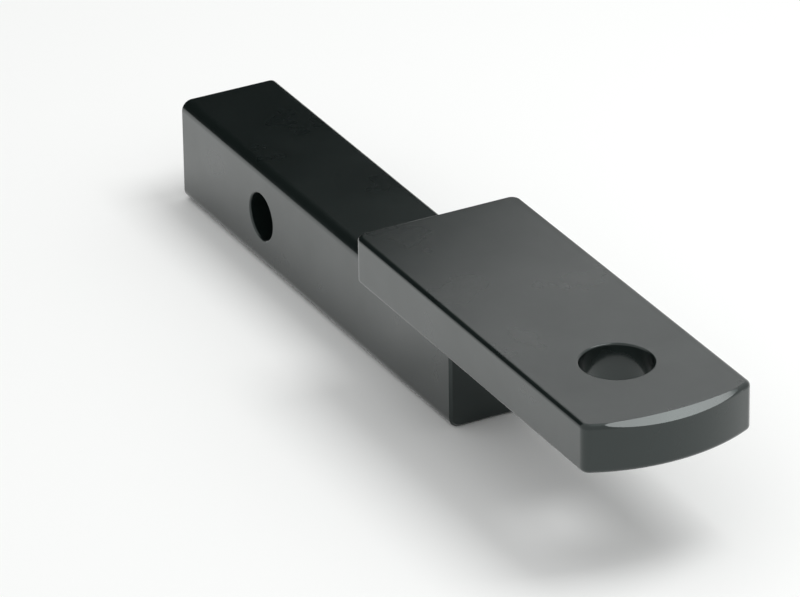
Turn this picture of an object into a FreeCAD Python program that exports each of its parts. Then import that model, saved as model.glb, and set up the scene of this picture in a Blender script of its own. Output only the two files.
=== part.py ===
"""Ball mount for a 1-1/4 inch receiver: a solid square bar with a flat ball plate welded on top of it.

Frame: origin at the centre of the hitch pin hole, +X towards the ball end, +Z up. Millimetres.
"""

import FreeCAD, Part
import Sketcher
import math
import os
import re

SIZES = {
    "bar_side": 31.75,          # square bar, 1-1/4 inch
    "bar_length": 164.0,        # about 6-1/2 inch
    "bar_corner": 3.2,          # rolled corner radius
    "bar_end_chamfer": 0.8,     # broken edges of the saw-cut ends
    "pin_setback": 50.8,        # receiver end to pin hole centre, 2 inch
    "pin_hole_diameter": 14.0,  # clears a 1/2 inch pin
    "plate_width": 50.8,        # flat bar, 2 inch
    "plate_thickness": 14.3,    # 9/16 inch
    "plate_side_length": 127.0,  # straight side, rear end to front corner, 5 inch
    "plate_overlap": 37.0,      # length of plate that lies on the bar
    "nose_rise": 6.2,           # bulge of the rounded nose past its corners
    "plate_corner": 3.0,        # upright corners of the plate
    "plate_edge": 1.4,          # rolled edges of the plate
    "ball_hole_diameter": 20.0,  # clears a 3/4 inch ball shank
    "ball_hole_setback": 27.0,  # front corner back to ball hole centre
    "hole_edge": 0.6,           # rounded rims of both holes
    "bevel_rise": 3.7,          # bulge of the nose bevel's upper line
    "bevel_drop": 1.6,          # depth of the nose bevel at its middle
    "weld_leg": 6.0,            # fillet weld leg
    "weld_crown": 0.7,          # swell of the bead over its flat chord
    "weld_end_gap": 2.0,        # bead stops short of the ends of the overlap
}

doc = FreeCAD.newDocument("ball_mount")


def make_sheet():
    """The driving sizes, and what follows from them, as aliased cells."""
    sheet = doc.addObject("Spreadsheet::Sheet", "Sizes")
    derived = {
        "plate_rear": "=bar_length - pin_setback - plate_overlap",
        "plate_corner_x": "=plate_rear + plate_side_length",
        "bar_top": "=bar_side / 2",
        "plate_top": "=bar_top + plate_thickness",
        "nose_radius": "=(plate_width ^ 2 / 4 + nose_rise ^ 2) / (2 * nose_rise)",
        "bevel_radius": "=(plate_width ^ 2 / 4 + bevel_rise ^ 2) / (2 * bevel_rise)",
        "bevel_run": "=nose_rise - bevel_rise",
        "ball_hole_x": "=plate_corner_x - ball_hole_setback",
    }
    for row, (alias, value) in enumerate({**SIZES, **derived}.items(), start=1):
        sheet.set(f"A{row}", alias)
        sheet.set(f"B{row}", str(value))
        sheet.setAlias(f"B{row}", alias)
    doc.recompute()
    return sheet


sheet = make_sheet()


def size(alias):
    return float(getattr(sheet, alias))


def bind(item, **cells):
    """Tie properties to the sheet. Each value is an expression, with a cell's alias written <alias>."""
    for path, words in cells.items():
        item.setExpression(path.replace("__", "."), re.sub(r"<(\w+)>", r"Sizes.\1", words))


def plane(body, role):
    return next(f for f in body.Origin.OriginFeatures if f.Role == role)


def edges_where(shape, test):
    """Names of the edges whose ends and middle point all pass the test."""
    found = []
    for number, edge in enumerate(shape.Edges, start=1):
        middle = edge.valueAt((edge.FirstParameter + edge.LastParameter) / 2)
        if all(test(p) for p in [*(v.Point for v in edge.Vertexes), middle]):
            found.append(f"Edge{number}")
    return found


def near(a, b):
    return abs(a - b) < 1e-4


def dress(body, kind, base, names, **cells):
    """A Fillet or Chamfer on named edges of the body's last feature."""
    doc.recompute()
    feature = body.newObject(kind, kind.split("::")[1])
    feature.Base = (base, names)
    bind(feature, **cells)
    body.Tip = feature
    doc.recompute()
    return feature


def make_bar():
    """Solid square bar with rolled corners and a cross hole for the hitch pin."""
    body = doc.addObject("PartDesign::Body", "shank_bar")
    block = body.newObject("PartDesign::AdditiveBox", "BarBlock")
    bind(block, Length="<bar_length>", Width="<bar_side>", Height="<bar_side>",
         Placement__Base__x="-<pin_setback>", Placement__Base__y="-<bar_side> / 2",
         Placement__Base__z="-<bar_side> / 2")
    doc.recompute()
    half = size("bar_side") / 2
    long_edges = edges_where(block.Shape, lambda p: near(abs(p.y), half) and near(abs(p.z), half))
    rolled = dress(body, "PartDesign::Fillet", block, long_edges, Radius="<bar_corner>")
    ends = (-size("pin_setback"), size("bar_length") - size("pin_setback"))
    for end in ends:
        rim = edges_where(rolled.Shape, lambda p: near(p.x, end))
        rolled = dress(body, "PartDesign::Chamfer", rolled, rim, Size="<bar_end_chamfer>")
    drill = body.newObject("PartDesign::SubtractiveCylinder", "PinHole")
    drill.Placement.Rotation = FreeCAD.Rotation(FreeCAD.Vector(1, 0, 0), -90)
    bind(drill, Radius="<pin_hole_diameter> / 2", Height="<bar_side>",
         Placement__Base__y="-<bar_side> / 2")
    body.Tip = drill
    doc.recompute()
    reach = size("pin_hole_diameter") / 2
    rims = edges_where(drill.Shape, lambda p: near(abs(p.y), half) and near(math.hypot(p.x, p.z), reach))
    dress(body, "PartDesign::Fillet", drill, rims, Radius="<hole_edge>")
    return body


def plate_outline(body):
    """Plan of the plate: square rear end, straight sides and a bowed nose."""
    sketch = body.newObject("Sketcher::SketchObject", "PlateOutline")
    sketch.AttachmentSupport = (plane(body, "XY_Plane"), [""])
    sketch.MapMode = "FlatFace"
    bind(sketch, AttachmentOffset__Base__z="<bar_top>")
    rear, corner, half = size("plate_rear"), size("plate_corner_x"), size("plate_width") / 2
    radius = size("nose_radius")
    centre = FreeCAD.Vector(corner + size("nose_rise") - radius, 0, 0)
    turn = math.asin(half / radius)
    points = [(rear, -half), (corner, -half), (corner, half), (rear, half)]
    p = [FreeCAD.Vector(x, y, 0) for x, y in points]
    circle = Part.Circle(centre, FreeCAD.Vector(0, 0, 1), radius)
    right, left, back = (Part.LineSegment(p[a], p[b]) for a, b in ((0, 1), (2, 3), (3, 0)))
    sketch.addGeometry([right, Part.ArcOfCircle(circle, -turn, turn), left, back], False)
    for first, end, second, start in ((0, 2, 1, 1), (1, 2, 2, 1), (2, 2, 3, 1), (3, 2, 0, 1)):
        sketch.addConstraint(Sketcher.Constraint("Coincident", first, end, second, start))
    sketch.addConstraint(Sketcher.Constraint("Horizontal", 0))
    sketch.addConstraint(Sketcher.Constraint("Horizontal", 2))
    sketch.addConstraint(Sketcher.Constraint("Symmetric", 3, 1, 3, 2, -1))
    sketch.addConstraint(Sketcher.Constraint("PointOnObject", 1, 3, -1))
    sizes = (
        ("Rear", Sketcher.Constraint("DistanceX", -1, 1, 0, 1, rear), "<plate_rear>"),
        ("Side", Sketcher.Constraint("DistanceX", 0, 1, 0, 2, corner - rear), "<plate_side_length>"),
        ("Width", Sketcher.Constraint("DistanceY", 3, 2, 3, 1, 2 * half), "<plate_width>"),
        ("Nose", Sketcher.Constraint("Radius", 1, radius), "<nose_radius>"),
    )
    for name, constraint, words in sizes:
        index = sketch.addConstraint(constraint)
        sketch.renameConstraint(index, name)
        bind(sketch, **{f"Constraints__{name}": words})
    return sketch


def make_bevel_cutter():
    """Ring outside a cone, which takes a crescent off the plate's upper front edge."""
    depth, reach = "3 * <bevel_drop>", "<bevel_radius> + 3 * <bevel_run>"
    place = {
        "Placement__Base__x": "<plate_corner_x> + <bevel_rise> - <bevel_radius>",
        "Placement__Base__z": f"<plate_top> - {depth}",
    }
    disc = doc.addObject("Part::Cylinder", "BevelDisc")
    bind(disc, Radius=f"{reach} + <nose_rise>", Height=depth, **place)
    cone = doc.addObject("Part::Cone", "BevelCone")
    bind(cone, Radius1=reach, Radius2="<bevel_radius>", Height=depth, **place)
    ring = doc.addObject("Part::Cut", "BevelRing")
    ring.Base, ring.Tool = disc, cone
    return ring


def make_plate():
    """Ball plate: flat bar with a bowed nose, rolled edges, a ball hole and the bevelled nose."""
    body = doc.addObject("PartDesign::Body", "PlateBlank")
    sketch = plate_outline(body)
    doc.recompute()
    pad = body.newObject("PartDesign::Pad", "PlatePad")
    pad.Profile = sketch
    bind(pad, Length="<plate_thickness>")
    body.Tip = pad
    doc.recompute()
    bottom, top = size("bar_top"), size("plate_top")
    uprights = [f"Edge{n}" for n, e in enumerate(pad.Shape.Edges, start=1)
                if near(e.Vertexes[0].X, e.Vertexes[-1].X) and near(e.Vertexes[0].Y, e.Vertexes[-1].Y)]
    rounded = dress(body, "PartDesign::Fillet", pad, uprights, Radius="<plate_corner>")
    rims = [name for level in (top, bottom) for name in edges_where(rounded.Shape, lambda p: near(p.z, level))]
    dress(body, "PartDesign::Fillet", rounded, rims, Radius="<plate_edge>")
    drill = body.newObject("PartDesign::SubtractiveCylinder", "BallHole")
    bind(drill, Radius="<ball_hole_diameter> / 2", Height="<plate_thickness>",
         Placement__Base__x="<ball_hole_x>", Placement__Base__z="<bar_top>")
    body.Tip = drill
    doc.recompute()
    centre, reach = size("ball_hole_x"), size("ball_hole_diameter") / 2
    rims = edges_where(drill.Shape, lambda p: near(math.hypot(p.x - centre, p.y), reach) and
                       (near(p.z, bottom) or near(p.z, top)))
    dress(body, "PartDesign::Fillet", drill, rims, Radius="<hole_edge>")
    plate = doc.addObject("Part::Cut", "ball_plate")
    plate.Base, plate.Tool = body, make_bevel_cutter()
    doc.recompute()
    return plate


def bulged(start, end, away):
    """Arc from start to end that swells by the weld crown, on the side away from a point."""
    middle = (start + end) / 2
    out = (middle - away).normalize()
    return Part.Arc(start, middle + out * size("weld_crown"), end).toShape()


def bead(label, corners, run):
    """Fillet bead with a crowned face. Its section's last side is the crowned one."""
    edges = [Part.LineSegment(a, b).toShape() for a, b in zip(corners, corners[1:])]
    edges.append(bulged(corners[-1], corners[0], corners[len(corners) // 2]))
    weld = doc.addObject("Part::Feature", label)
    weld.Shape = Part.Face(Part.Wire(edges)).extrude(run)
    return weld


def make_cross_welds():
    """Beads across the plate's rear end on the bar, and across the bar's front end under the plate."""
    leg, top = size("weld_leg"), size("bar_top")
    half = size("bar_side") / 2 - size("bar_corner")
    rear = size("plate_rear")
    front = size("bar_length") - size("pin_setback")
    seat = size("plate_edge")
    chamfer = size("bar_end_chamfer")
    run = FreeCAD.Vector(0, 2 * half, 0)
    point = FreeCAD.Vector
    return [
        bead("rear_weld", [point(rear - leg, -half, top), point(rear, -half, top),
                           point(rear, -half, top + max(leg, seat))], run),
        bead("front_weld", [point(front, -half, top - max(leg, chamfer)), point(front, -half, top),
                            point(front + leg, -half, top)], run),
    ]


def make_side_weld(label, side):
    """Bead in the corner under the plate, filling the flare beside the bar's rolled corner."""
    leg, top, corner = size("weld_leg"), size("bar_top"), size("bar_corner")
    wall = size("bar_side") / 2
    gap = size("weld_end_gap")
    start = size("plate_rear") + max(size("plate_corner"), gap)
    end = size("bar_length") - size("pin_setback") - size("bar_end_chamfer") - gap

    def point(y, z):
        return FreeCAD.Vector(start, side * y, z)

    toe, crest = point(wall, top - corner - leg), point(wall + leg, top)
    tangent_top, tangent_side = point(wall - corner, top), point(wall, top - corner)
    bend = corner * math.sqrt(0.5)
    middle = point(wall - corner + bend, top - corner + bend)
    edges = [
        Part.LineSegment(crest, tangent_top).toShape(),
        Part.Arc(tangent_top, middle, tangent_side).toShape(),
        Part.LineSegment(tangent_side, toe).toShape(),
        bulged(toe, crest, tangent_top),
    ]
    weld = doc.addObject("Part::Feature", label)
    weld.Shape = Part.Face(Part.Wire(edges)).extrude(FreeCAD.Vector(end - start, 0, 0))
    return weld


def export(pieces):
    """Check every object of the document, then write one STEP file for each piece."""
    doc.recompute()
    for item in doc.Objects:
        if {"Invalid", "Error"} & set(item.State):
            raise RuntimeError(f"{item.Name} failed: {item.State}")
    os.makedirs("parts", exist_ok=True)
    for piece in pieces:
        if piece.Shape.isNull() or not piece.Shape.isValid():
            raise RuntimeError(f"{piece.Label} has no valid shape")
        piece.Shape.exportStep(f"parts/{piece.Label}.step")
        print(piece.Label, "volume", round(piece.Shape.Volume, 1), "mm3")


export([make_bar(), make_plate(), *make_cross_welds(),
        make_side_weld("left_weld", 1), make_side_weld("right_weld", -1)])
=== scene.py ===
"""Ball mount: a welded, coated steel drawbar with a bow-nosed ball plate, as a Blender add-on."""
import math

import bpy
from mathutils import Matrix, Vector


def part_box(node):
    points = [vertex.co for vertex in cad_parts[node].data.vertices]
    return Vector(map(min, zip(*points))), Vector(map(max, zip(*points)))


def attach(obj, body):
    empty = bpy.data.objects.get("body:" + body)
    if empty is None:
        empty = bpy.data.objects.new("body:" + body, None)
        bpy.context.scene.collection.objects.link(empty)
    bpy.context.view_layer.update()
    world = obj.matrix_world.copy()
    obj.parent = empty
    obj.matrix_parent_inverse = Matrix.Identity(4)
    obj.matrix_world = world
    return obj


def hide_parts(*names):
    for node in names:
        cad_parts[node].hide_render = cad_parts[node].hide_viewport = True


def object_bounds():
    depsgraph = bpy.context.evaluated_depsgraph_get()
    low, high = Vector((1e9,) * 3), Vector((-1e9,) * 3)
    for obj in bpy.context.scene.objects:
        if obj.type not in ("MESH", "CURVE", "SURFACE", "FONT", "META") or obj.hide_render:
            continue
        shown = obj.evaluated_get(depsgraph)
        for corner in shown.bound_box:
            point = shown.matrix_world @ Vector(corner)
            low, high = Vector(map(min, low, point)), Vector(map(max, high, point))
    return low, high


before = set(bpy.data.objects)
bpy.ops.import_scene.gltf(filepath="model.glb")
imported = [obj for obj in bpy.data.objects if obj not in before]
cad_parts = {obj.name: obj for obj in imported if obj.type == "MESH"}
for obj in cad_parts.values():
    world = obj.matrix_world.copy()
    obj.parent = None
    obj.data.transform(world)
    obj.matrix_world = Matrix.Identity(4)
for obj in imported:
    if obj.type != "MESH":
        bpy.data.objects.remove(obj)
CAD_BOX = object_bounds()

bl_info = {
    "name": "Ball Mount",
    "version": (1, 0, 0),
    "blender": (4, 0, 0),
    "location": "View3D > Sidebar > Ball Mount",
    "description": "Coats, welds and lights a receiver ball mount",
    "category": "Object",
}

MM = 0.001


def linear(code):
    """Linear RGB of an sRGB hex colour."""
    parts = [int(code[i:i + 2], 16) / 255 for i in (1, 3, 5)]
    return tuple(v / 12.92 if v <= 0.04045 else ((v + 0.055) / 1.055) ** 2.4 for v in parts)


class CoatSettings(bpy.types.PropertyGroup):
    colour: bpy.props.FloatVectorProperty(
        name="Coat colour", description="Pigment of the black coat", subtype="COLOR",
        size=3, min=0, max=1, default=linear("#101615"))
    peel: bpy.props.FloatProperty(
        name="Peel", description="Width of one orange-peel dimple", unit="LENGTH", default=1.8 * MM)
    peel_height: bpy.props.FloatProperty(
        name="Peel height", description="Depth of the orange peel", unit="LENGTH", default=0.006 * MM)
    wave: bpy.props.FloatProperty(
        name="Wave", description="Length of the slow waves left by rolled steel",
        unit="LENGTH", default=16 * MM)
    wave_height: bpy.props.FloatProperty(
        name="Wave height", description="Depth of the slow waves", unit="LENGTH", default=0.03 * MM)


class WeldSettings(bpy.types.PropertyGroup):
    pitch: bpy.props.FloatProperty(
        name="Ripple pitch", description="Distance from one weld ripple to the next",
        unit="LENGTH", default=2.6 * MM)
    crown: bpy.props.FloatProperty(
        name="Crown", description="Height of the bead over its flat chord", unit="LENGTH", default=0.7 * MM)
    taper: bpy.props.FloatProperty(
        name="Taper", description="Length over which a bead's end rounds off",
        unit="LENGTH", default=2.5 * MM)


class StageSettings(bpy.types.PropertyGroup):
    floor: bpy.props.FloatVectorProperty(
        name="Floor colour", description="Pale studio floor", subtype="COLOR",
        size=3, min=0, max=1, default=linear("#f6f7f6"))
    sky: bpy.props.FloatProperty(
        name="Sky", description="Strength of the even light round the object", default=0.79)
    key: bpy.props.FloatProperty(
        name="Key", description="Power of the softbox overhead", default=2.7)
    lens: bpy.props.FloatProperty(
        name="Lens", description="Focal length in millimetres", default=283.4)


def add(tree, kind, inputs, **settings):
    """A new node with its settings, its constants and its links."""
    made = tree.nodes.new(kind)
    for key, value in settings.items():
        setattr(made, key, value)
    for name, value in inputs.items():
        if isinstance(value, bpy.types.NodeSocket):
            tree.links.new(value, made.inputs[name])
        else:
            made.inputs[name].default_value = value
    return made


def empty_material(name):
    """A material with no nodes but its output."""
    made = bpy.data.materials.new(name)
    made.use_nodes = True
    made.node_tree.nodes.clear()
    return made


def coat_material(name, coat, roughness, peel_gain):
    """Black coat on steel: a dark pigment under a clear skin, with orange peel over slow waves."""
    made = empty_material(name)
    tree = made.node_tree
    at = add(tree, "ShaderNodeTexCoord", {}).outputs["Object"]
    # Slow waves bend the reflections on the long flats, as rolled bar does.
    wave = add(tree, "ShaderNodeTexNoise", {"Vector": at, "Scale": 1 / coat.wave, "Detail": 1.0})
    rolled = add(tree, "ShaderNodeBump", {"Height": wave.outputs[0], "Distance": coat.wave_height})
    # Orange peel breaks up the edge of every highlight.
    peel = add(tree, "ShaderNodeTexNoise", {"Vector": at, "Scale": 1 / coat.peel, "Detail": 2.0})
    skin = add(tree, "ShaderNodeBump", {
        "Height": peel.outputs[0], "Distance": coat.peel_height * peel_gain,
        "Normal": rolled.outputs["Normal"]})
    # Handling leaves the gloss a little uneven.
    cloud = add(tree, "ShaderNodeTexNoise", {"Vector": at, "Scale": 1 / (22 * MM), "Detail": 3.0})
    gloss = add(tree, "ShaderNodeMapRange", {
        "Value": cloud.outputs[0], "From Min": 0.3, "From Max": 0.7,
        "To Min": roughness - 0.05, "To Max": roughness + 0.07})
    shader = add(tree, "ShaderNodeBsdfPrincipled", {
        "Base Color": (*coat.colour, 1), "Roughness": gloss.outputs["Result"],
        "Specular IOR Level": 0.3, "Specular Tint": (*linear("#d6f2ee"), 1),
        "Coat Weight": 1.0, "Coat Roughness": 0.1, "Coat IOR": 1.44, "Normal": skin.outputs["Normal"],
        "Coat Normal": skin.outputs["Normal"]})
    add(tree, "ShaderNodeOutputMaterial", {"Surface": shader.outputs[0]})
    return made


def paint(obj, material):
    """Give every slot of the object this material."""
    if not obj.material_slots:
        obj.data.materials.append(material)
    for slot in obj.material_slots:
        slot.material = material


def lay_bead(name, toe, crest, root, run, weld, material):
    """A rippled fillet bead from its toe to its crest, swept along run and closed at the root."""
    columns, length = 12, run.length
    rows = max(24, round(length / weld.pitch * 10))
    chord = crest - toe
    outward = (toe + crest) / 2 - root
    outward = (outward - chord * (outward.dot(chord) / chord.length_squared)).normalized()
    points, faces = [], []
    for i in range(rows + 1):
        along = i / rows * length
        end = min(along, length - along, weld.taper) / weld.taper
        full = 0.45 + 0.55 * math.sqrt(1 - (1 - end) ** 2)
        shift = run * (i / rows)
        for j in range(columns + 1):
            v = j / columns
            dome = 4 * v * (1 - v)
            ripple = abs(math.sin(math.pi * (along + weld.pitch * 0.8 * dome) / weld.pitch)) ** 0.6
            place = toe + chord * v + outward * (weld.crown * dome * (0.45 + 0.55 * ripple))
            points.append(root + (place - root) * full + shift)
        points.append(root + shift)
    width = columns + 2
    for i in range(rows):
        for j in range(width):
            a, b = i * width + j, i * width + (j + 1) % width
            faces.append((a, b, b + width, a + width))
    faces.append(tuple(range(width - 1, -1, -1)))
    faces.append(tuple(rows * width + j for j in range(width)))
    mesh = bpy.data.meshes.new(name)
    mesh.from_pydata(points, [], faces)
    mesh.validate()
    mesh.shade_smooth()
    mesh.set_sharp_from_angle(angle=math.radians(50))
    made = bpy.data.objects.new(name, mesh)
    bpy.context.scene.collection.objects.link(made)
    paint(made, material)
    return made


class CoatSteel(bpy.types.Operator):
    """Coat the bar and the plate"""
    bl_idname = "mount.coat_steel"
    bl_label = "Coat Steel"

    def execute(self, context):
        coat = context.scene.mount_coat
        material = coat_material("gloss black powder coat on rolled steel", coat, 0.3, 1.0)
        for name in ("shank_bar", "ball_plate"):
            paint(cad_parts[name], material)
        return {"FINISHED"}


class LayWelds(bpy.types.Operator):
    """Lay the four rippled beads that join the plate to the bar"""
    bl_idname = "mount.lay_welds"
    bl_label = "Lay Welds"

    def execute(self, context):
        weld = context.scene.mount_weld
        material = coat_material("black powder coat over weld ripples", context.scene.mount_coat, 0.36, 1.8)
        bar_low, bar_high = (Vector(v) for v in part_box("shank_bar"))
        for name, side in (("left", 1), ("right", -1)):
            low, high = (Vector(v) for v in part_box(name + "_weld"))
            wall = bar_high.y * side
            reach = high.y if side > 0 else low.y
            self.lay(name, Vector((low.x, wall, low.z)), Vector((low.x, reach, high.z)),
                     Vector((low.x, wall - side * MM, high.z - MM)),
                     Vector((high.x - low.x, 0, 0)), weld, material)
        low, high = (Vector(v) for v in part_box("rear_weld"))
        across = Vector((0, high.y - low.y, 0))
        self.lay("rear", Vector((low.x, low.y, low.z)), Vector((high.x, low.y, high.z)),
                 Vector((high.x, low.y, low.z)), across, weld, material)
        low, high = (Vector(v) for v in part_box("front_weld"))
        across = Vector((0, high.y - low.y, 0))
        self.lay("front", Vector((low.x, low.y, low.z)), Vector((high.x, low.y, high.z)),
                 Vector((low.x, low.y, high.z)), across, weld, material)
        return {"FINISHED"}

    def lay(self, name, toe, crest, root, run, weld, material):
        bead = lay_bead(name + "_bead", toe, crest, root, run, weld, material)
        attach(bead, "root")
        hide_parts(name + "_weld")


def card(name, width, height, place, colour, fade=None):
    """A flat matt card for the stage, fading to pale between two heights if fade names them."""
    mesh = bpy.data.meshes.new(name)
    x, y = width / 2, height / 2
    mesh.from_pydata([(-x, -y, 0), (x, -y, 0), (x, y, 0), (-x, y, 0)], [], [(0, 1, 2, 3)])
    made = bpy.data.objects.new(name, mesh)
    made.matrix_world = place
    bpy.context.scene.collection.objects.link(made)
    material = empty_material(name + " matt paint")
    tree = material.node_tree
    shader = add(tree, "ShaderNodeBsdfDiffuse", {"Color": (*colour, 1)})
    if fade:
        at = add(tree, "ShaderNodeTexCoord", {}).outputs["Object"]
        height = add(tree, "ShaderNodeSeparateXYZ", {"Vector": at}).outputs["X"]
        pale = add(tree, "ShaderNodeMapRange", {
            "Value": height, "From Min": -fade[0], "From Max": -fade[1], "To Min": colour[0], "To Max": 0.9})
        tree.links.new(pale.outputs["Result"], shader.inputs["Color"])
    add(tree, "ShaderNodeOutputMaterial", {"Surface": shader.outputs[0]})
    paint(made, material)
    return made


class SetStage(bpy.types.Operator):
    """Set the floor, the light and the camera"""
    bl_idname = "mount.set_stage"
    bl_label = "Set Stage"

    def execute(self, context):
        scene, stage = context.scene, context.scene.mount_stage
        low = Vector(CAD_BOX[0])
        card("floor", 12, 12, Matrix.Translation((0, 0, low.z)), stage.floor)
        # A card behind the bar keeps its top deep black and fades to pale along the plate.
        place = (Matrix.Translation((-0.45, 0.15, 0.13)) @ Matrix.Rotation(math.radians(-40), 4, "X")
                 @ Matrix.Rotation(math.radians(90), 4, "Y"))
        dark = card("dark_card", 0.9, 1.6, place, linear("#141616"), fade=(0.215, 0.29))
        dark.visible_camera = False
        dark.visible_diffuse = False
        dark.visible_shadow = False
        world = bpy.data.worlds.new("even studio light")
        world.use_nodes = True
        world.node_tree.nodes.clear()
        glow = add(world.node_tree, "ShaderNodeBackground", {"Color": (1, 1, 1, 1), "Strength": stage.sky})
        add(world.node_tree, "ShaderNodeOutputWorld", {"Surface": glow.outputs[0]})
        scene.world = world
        # The softbox overhead is what the nose bevel reflects.
        lamp = bpy.data.lights.new("softbox", "AREA")
        lamp.energy = stage.key
        lamp.size = 0.42
        softbox = bpy.data.objects.new("softbox", lamp)
        aim = Vector((0.07, 0.40, 0.91)).normalized()
        softbox.matrix_world = Matrix.Translation(Vector((0.2, 0, 0.03)) + aim * 0.8) @ (
            aim.to_track_quat("Z", "Y").to_matrix().to_4x4())
        scene.collection.objects.link(softbox)
        lens = bpy.data.cameras.new("camera")
        lens.lens = stage.lens
        lens.sensor_width = 36
        lens.clip_end = 50
        camera = bpy.data.objects.new("camera", lens)
        right = Vector((0.47163, 0.88170, -0.01281))
        up = Vector((-0.39909, 0.22638, 0.88853))
        back = Vector((0.78631, -0.41395, 0.45865))
        turn = Matrix((right, up, back)).transposed().to_4x4()
        camera.matrix_world = Matrix.Translation((1.44533, -0.73217, 0.80534)) @ turn
        scene.collection.objects.link(camera)
        scene.camera = camera
        scene.view_settings.view_transform = "Standard"
        return {"FINISHED"}


class MountPanel(bpy.types.Panel):
    """Sizes, colours and steps of the ball mount"""
    bl_idname = "VIEW3D_PT_ball_mount"
    bl_label = "Ball Mount"
    bl_space_type = "VIEW_3D"
    bl_region_type = "UI"
    bl_category = "Ball Mount"

    def draw(self, context):
        for group in (context.scene.mount_coat, context.scene.mount_weld, context.scene.mount_stage):
            for name in group.__annotations__:
                self.layout.prop(group, name)
        for step in (CoatSteel, LayWelds, SetStage):
            self.layout.operator(step.bl_idname)


CLASSES = (CoatSettings, WeldSettings, StageSettings, CoatSteel, LayWelds, SetStage, MountPanel)


def register():
    for kind in CLASSES:
        bpy.utils.register_class(kind)
    bpy.types.Scene.mount_coat = bpy.props.PointerProperty(type=CoatSettings)
    bpy.types.Scene.mount_weld = bpy.props.PointerProperty(type=WeldSettings)
    bpy.types.Scene.mount_stage = bpy.props.PointerProperty(type=StageSettings)


def unregister():
    del bpy.types.Scene.mount_stage
    del bpy.types.Scene.mount_weld
    del bpy.types.Scene.mount_coat
    for kind in reversed(CLASSES):
        bpy.utils.unregister_class(kind)


def main():
    register()
    bpy.ops.mount.coat_steel()
    bpy.ops.mount.lay_welds()
    bpy.ops.mount.set_stage()


if __name__ == "__main__":
    main()
